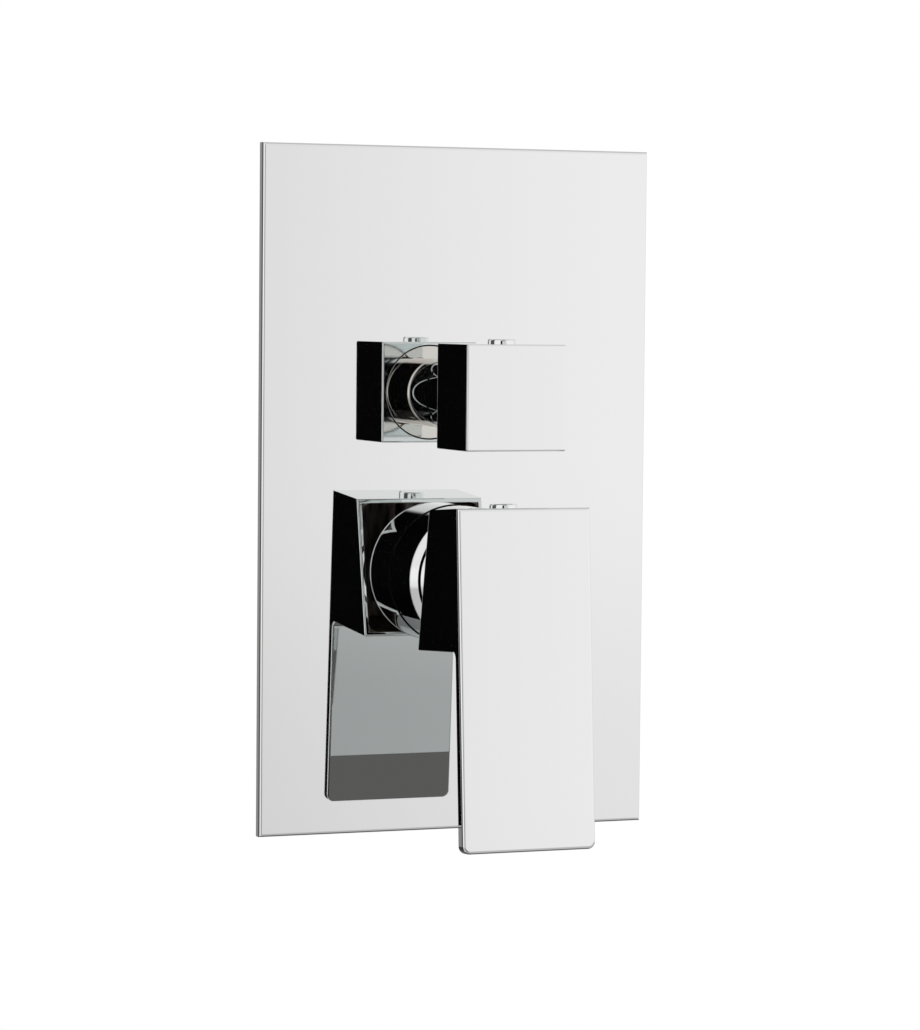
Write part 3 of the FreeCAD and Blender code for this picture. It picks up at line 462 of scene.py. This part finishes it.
THREAD_PITCH = 1.814 * MM
THREAD_DEPTH = 1.162 * MM
THREAD_STEPS = 48
THREAD_ROOT_HALF = 0.46  # half widths of the ridge, in pitches
THREAD_CREST_HALF = 0.08


def thread(mount):
    """The ridge of a pipe thread in its bore, one turn per pitch."""
    middle = Vector(mount["pos_m"])
    outwards = Vector(mount["axis"])
    across = outwards.orthogonal().normalized()
    upwards = outwards.cross(across)
    root = mount["dims"]["r_mm"] * MM
    crest = root - THREAD_DEPTH
    profile = [
        (root, -THREAD_ROOT_HALF),
        (crest, -THREAD_CREST_HALF),
        (crest, THREAD_CREST_HALF),
        (root, THREAD_ROOT_HALF),
    ]
    length = mount["dims"]["length_mm"] * MM - THREAD_PITCH
    steps = int(length / THREAD_PITCH * THREAD_STEPS)
    points = []
    for step in range(steps + 1):
        turn = 2 * math.pi * step / THREAD_STEPS
        spoke = across * math.cos(turn) + upwards * math.sin(turn)
        along = step / THREAD_STEPS * THREAD_PITCH - length / 2
        for radius, shift in profile:
            points.append(middle + spoke * radius + outwards * (along + shift * THREAD_PITCH))
    sides = len(profile)
    faces = skin(steps + 1, sides, closed=False)
    faces.append(tuple(range(sides)))
    faces.append(tuple(range(steps * sides + sides - 1, steps * sides - 1, -1)))
    piece = new_piece("thread_" + mount["name"], points, faces, BY_SLOT["brass"])
    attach(piece, "root")


for mount in RECORD["mounts"]:
    if mount["kind"] == "threaded_hole":
        thread(mount)


# Turned rings

RING_STEPS = 180
RING_SHARP = math.radians(35)
BEAD_SECTION = 0.3 * MM
BEAD_SIDES = 14
BEAD_PROUD = 0.12 * MM
COLLAR_FOOT_THICKNESS = 0.8 * MM
COLLAR_INSET = 0.15 * MM  # of its foot, from the knob's back
COLLAR_GAP = 0.4 * MM
COLLAR_RADIUS = 10.2 * MM
COLLAR_ROUND = 0.12 * MM
ROUND_STEPS = 4
FLAT_MARGIN = 0.05 * MM  # beside a round: smooth shading leaves the rest of the face flat


def ring(name, profile, height, body, material):
    """A solid turned about y at this height, from a closed profile of (radius, y) points."""
    points = []
    for step in range(RING_STEPS):
        turn = 2 * math.pi * step / RING_STEPS
        for radius, y in profile:
            points.append((radius * math.cos(turn), y, height + radius * math.sin(turn)))
    piece = new_piece(name, points, skin(RING_STEPS, len(profile), closed=True), material)
    piece.data.shade_smooth()
    piece.data.set_sharp_from_angle(angle=RING_SHARP)
    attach(piece, body)


def arc(radius, y, size, turns):
    """Points at these turns on a small circle about (radius, y)."""
    return [(radius + size * math.cos(turn), y + size * math.sin(turn)) for turn in turns]


def sleeve_bead():
    """The thin ridge behind the bevel of the sleeve under the lever."""
    low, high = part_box("mixer_sleeve")
    radius = (high.x - low.x) / 2 + BEAD_PROUD - BEAD_SECTION
    turns = [2 * math.pi * side / BEAD_SIDES for side in range(BEAD_SIDES)]
    profile = arc(radius, low.y + SLEEVE_BEVEL + BEAD_SECTION, BEAD_SECTION, turns)
    ring("mixer_sleeve_bead", profile, LEVER_PIVOT.z, "root", BY_SLOT["chrome"])


def corner(radius, y):
    """A rounded corner that ends at this radius and this y."""
    turns = [math.pi / 2 * step / ROUND_STEPS for step in range(ROUND_STEPS + 1)]
    return arc(radius - COLLAR_ROUND, y - COLLAR_ROUND, COLLAR_ROUND, turns)


def knob_collar():
    """The collar round the knob's hub, with a flat foot that closes the recess behind the knob."""
    foot = KNOB_BACK - COLLAR_INSET
    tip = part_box("diverter_sleeve")[0].y - COLLAR_GAP
    inner = KNOB_HUB_RADIUS + COLLAR_GAP
    outer = KNOB_RECESS_RADIUS - COLLAR_GAP
    profile = [
        (inner, foot - COLLAR_FOOT_THICKNESS),
        (outer, foot - COLLAR_FOOT_THICKNESS),
        *corner(outer, foot),
        (outer - COLLAR_ROUND - FLAT_MARGIN, foot),
        (COLLAR_RADIUS, foot),
        (COLLAR_RADIUS, tip - COLLAR_ROUND - FLAT_MARGIN),
        *corner(COLLAR_RADIUS, tip),
        (inner, tip),
    ]
    ring("knob_collar", profile, KNOB_AXIS.z, "knob", turned_collar())


sleeve_bead()
knob_collar()


# Studio. Each pair of angles, in degrees, is where a change of light starts and where it ends.

DOME_RADIUS = 2.4
DOME_COLUMNS = 480
DOME_ROWS = 240
WALL_COLOUR = Vector((1.0, 0.968, 0.972))
TABLE_COLOUR = Vector((1.0, 0.940, 0.900))

FRONT_LIGHT = 0.68
SIDE = (4, 27)
SIDE_GAIN = 0.32
BACK = (70, 130)
BACK_LOSS = 0.2

DARK_RING_INSIDE = (14.5, 17.5)
DARK_RING_OUTSIDE = (27, 33)
DARK_RING_END = (7, 11)
DARK_RING_LOSS = 0.998

LEFT_BACK_NEAR = (-80, -86)
LEFT_BACK_PALER = (-144, -152)
LEFT_BACK_PALER_SHARE = 0.3
LEFT_BACK_FAR = (-168, -178)
LEFT_BACK_HEIGHT = (35, 60)
LEFT_BACK_LOSS = 0.9

HIGH = (6, 13)
HIGH_LOSS = 0.09
OVERHEAD = (45, 68)
OVERHEAD_LOSS = 0.3

FOOT = (-2, -10)
FOOT_LOSS = 0.1
TABLE = (-10, -15.5)
TABLE_FRONT = 0.57
TABLE_BACK = 0.17
UNDER = (-50, -66)
UNDER_LOSS = 0.6

FLOOR_COLOUR = (0.92, 0.92, 0.92, 1.0)
FLOOR_ROUGHNESS = 0.8
FLOOR_HEIGHT = -0.45
FLOOR_RADIUS = 0.75
FLOOR_FADE_FROM = 0.35
FLOOR_STEP = 5

WORLD_LIGHT = 0.55
WORLD_SEEN = 1.0
WHITE = (1.0, 1.0, 1.0, 1.0)


def direction(azimuth, elevation):
    """Out from the part: azimuth 0 is straight in front, 90 is to the right."""
    turn = math.radians(azimuth)
    lift = math.radians(elevation)
    level = math.cos(lift)
    return Vector((math.sin(turn) * level, -math.cos(turn) * level, math.sin(lift)))


def ease(start, end, value):
    """From 0 at start to 1 at end, smoothly."""
    share = min(max((value - start) / (end - start), 0.0), 1.0)
    return share * share * (3 - 2 * share)


def dark_ring(azimuth, elevation):
    """How dark a direction is in the ring round the front that the sides of the handles mirror."""
    off_front = math.degrees(direction(azimuth, elevation).angle(direction(0, 0)))
    inside = ease(*DARK_RING_INSIDE, off_front)
    outside = ease(*DARK_RING_OUTSIDE, off_front)
    return inside * (1 - outside) * (1 - ease(*DARK_RING_END, azimuth))


def left_back(azimuth, elevation):
    """How dark a direction is on the wall at the left and behind."""
    near = ease(*LEFT_BACK_NEAR, azimuth)
    paler = 1 - LEFT_BACK_PALER_SHARE * ease(*LEFT_BACK_PALER, azimuth)
    far = 1 - ease(*LEFT_BACK_FAR, azimuth)
    return near * paler * far * (1 - ease(*LEFT_BACK_HEIGHT, abs(elevation)))


def studio_light(azimuth, elevation):
    """The colour of the studio's walls, ceiling and table in one direction from the part."""
    behind = ease(*BACK, abs(azimuth))
    wall = FRONT_LIGHT + SIDE_GAIN * ease(*SIDE, abs(azimuth)) - BACK_LOSS * behind
    front_dark = DARK_RING_LOSS * dark_ring(azimuth, elevation)
    back_dark = LEFT_BACK_LOSS * left_back(azimuth, elevation)
    wall *= (1 - front_dark) * (1 - back_dark)
    high = 1 - HIGH_LOSS * ease(*HIGH, elevation)
    ceiling = high * (1 - OVERHEAD_LOSS * ease(*OVERHEAD, elevation))
    table = TABLE_FRONT + (TABLE_BACK - TABLE_FRONT) * behind
    on_table = ease(*TABLE, elevation)
    low = 1 - FOOT_LOSS * ease(*FOOT, elevation) - (1 - FOOT_LOSS - table) * on_table
    under = 1 - UNDER_LOSS * ease(*UNDER, elevation)
    colour = WALL_COLOUR.lerp(TABLE_COLOUR, on_table * behind)
    return colour * wall * ceiling * low * under


def emission_material(name):
    """A material that glows with the mesh's own colours."""
    material = bpy.data.materials.new(name)
    material.use_nodes = True
    tree = material.node_tree
    tree.nodes.clear()
    colours = tree.nodes.new("ShaderNodeAttribute")
    colours.attribute_name = "light"
    glow = tree.nodes.new("ShaderNodeEmission")
    tree.links.new(colours.outputs["Color"], glow.inputs["Color"])
    output = tree.nodes.new("ShaderNodeOutputMaterial")
    tree.links.new(glow.outputs["Emission"], output.inputs["Surface"])
    return material


def dome():
    """The studio round the part, seen only in its reflections."""
    points = []
    light = []
    faces = []
    column_points = DOME_ROWS + 1
    for column in range(DOME_COLUMNS + 1):
        azimuth = -180 + 360 * column / DOME_COLUMNS
        for row in range(column_points):
            elevation = -90 + 180 * row / DOME_ROWS
            points.append(direction(azimuth, elevation) * DOME_RADIUS)
            light.append((*studio_light(azimuth, elevation), 1.0))
    for column in range(DOME_COLUMNS):
        for row in range(DOME_ROWS):
            here = column * column_points + row
            there = here + column_points
            faces.append((here, here + 1, there + 1, there))
    piece = new_piece("studio_dome", points, faces, emission_material("studio_dome"))
    colours = piece.data.color_attributes.new("light", "FLOAT_COLOR", "POINT")
    for index, colour in enumerate(light):
        colours.data[index].color = colour
    piece.visible_camera = False
    piece.visible_diffuse = False
    piece.visible_shadow = False


def floor():
    """A pale floor below the part, which fades out before its rim."""
    material = new_material("floor", Base_Color=FLOOR_COLOUR, Roughness=FLOOR_ROUGHNESS)
    x, y, _ = axes(material, place_output(material))
    reach = off_axis(material, x, y)
    feed(material, "Alpha", span(material, reach, 1.0, 0.0, FLOOR_FADE_FROM, FLOOR_RADIUS))
    points = []
    for angle in range(0, 360, FLOOR_STEP):
        turn = math.radians(angle)
        points.append((FLOOR_RADIUS * math.cos(turn), FLOOR_RADIUS * math.sin(turn), FLOOR_HEIGHT))
    piece = new_piece("floor", points, [tuple(range(len(points)))], material)
    piece.visible_glossy = False


def softbox(name, azimuth, elevation, distance, width, height, power):
    light = bpy.data.lights.new(name, "AREA")
    light.shape = "RECTANGLE"
    light.size = width
    light.size_y = height
    light.energy = power
    lamp = bpy.data.objects.new(name, light)
    place = direction(azimuth, elevation) * distance
    lamp.location = place
    lamp.rotation_euler = (-place).to_track_quat("-Z", "Y").to_euler()
    bpy.context.scene.collection.objects.link(lamp)
    lamp.visible_glossy = False


def world():
    """White where the camera sees it, directly or in metal, and softer as a light."""
    studio = bpy.data.worlds.new("studio")
    bpy.context.scene.world = studio
    studio.use_nodes = True
    tree = studio.node_tree
    tree.nodes.clear()
    path = tree.nodes.new("ShaderNodeLightPath")
    seen = path.outputs["Is Camera Ray"]
    for ray in ("Is Glossy Ray", "Is Transmission Ray"):
        either = tree.nodes.new("ShaderNodeMath")
        either.operation = "MAXIMUM"
        tree.links.new(seen, either.inputs[0])
        tree.links.new(path.outputs[ray], either.inputs[1])
        seen = either.outputs["Value"]
    level = tree.nodes.new("ShaderNodeMapRange")
    level.inputs["To Min"].default_value = WORLD_LIGHT
    level.inputs["To Max"].default_value = WORLD_SEEN
    tree.links.new(seen, level.inputs["Value"])
    back = tree.nodes.new("ShaderNodeBackground")
    back.inputs["Color"].default_value = WHITE
    tree.links.new(level.outputs["Result"], back.inputs["Strength"])
    output = tree.nodes.new("ShaderNodeOutputWorld")
    tree.links.new(back.outputs["Background"], output.inputs["Surface"])


world()
dome()
floor()
softbox("key", azimuth=-70, elevation=35, distance=1.6, width=0.8, height=1.2, power=14.0)
softbox("fill", azimuth=45, elevation=30, distance=1.8, width=1.0, height=1.0, power=10.0)


# Camera

def camera():
    data = bpy.data.cameras.new("camera")
    data.sensor_width = SENSOR
    data.lens = FOCAL_PIXELS * SENSOR / IMAGE_HEIGHT
    data.clip_start = CLIP_START
    eye = bpy.data.objects.new("camera", data)
    level = math.cos(CAMERA_PITCH)
    forward = Vector((
        math.sin(CAMERA_YAW) * level,
        math.cos(CAMERA_YAW) * level,
        math.sin(CAMERA_PITCH),
    ))
    right = Vector((math.cos(CAMERA_YAW), -math.sin(CAMERA_YAW), 0.0))
    up = right.cross(forward)
    rolled_right = right * math.cos(CAMERA_ROLL) + up * math.sin(CAMERA_ROLL)
    rolled_up = up * math.cos(CAMERA_ROLL) - right * math.sin(CAMERA_ROLL)
    turn = Matrix((rolled_right, rolled_up, -forward)).transposed()
    eye.matrix_world = Matrix.Translation(CAMERA_PLACE) @ turn.to_4x4()
    bpy.context.scene.collection.objects.link(eye)
    bpy.context.scene.camera = eye


camera()
bpy.context.scene.view_settings.view_transform = "Standard"
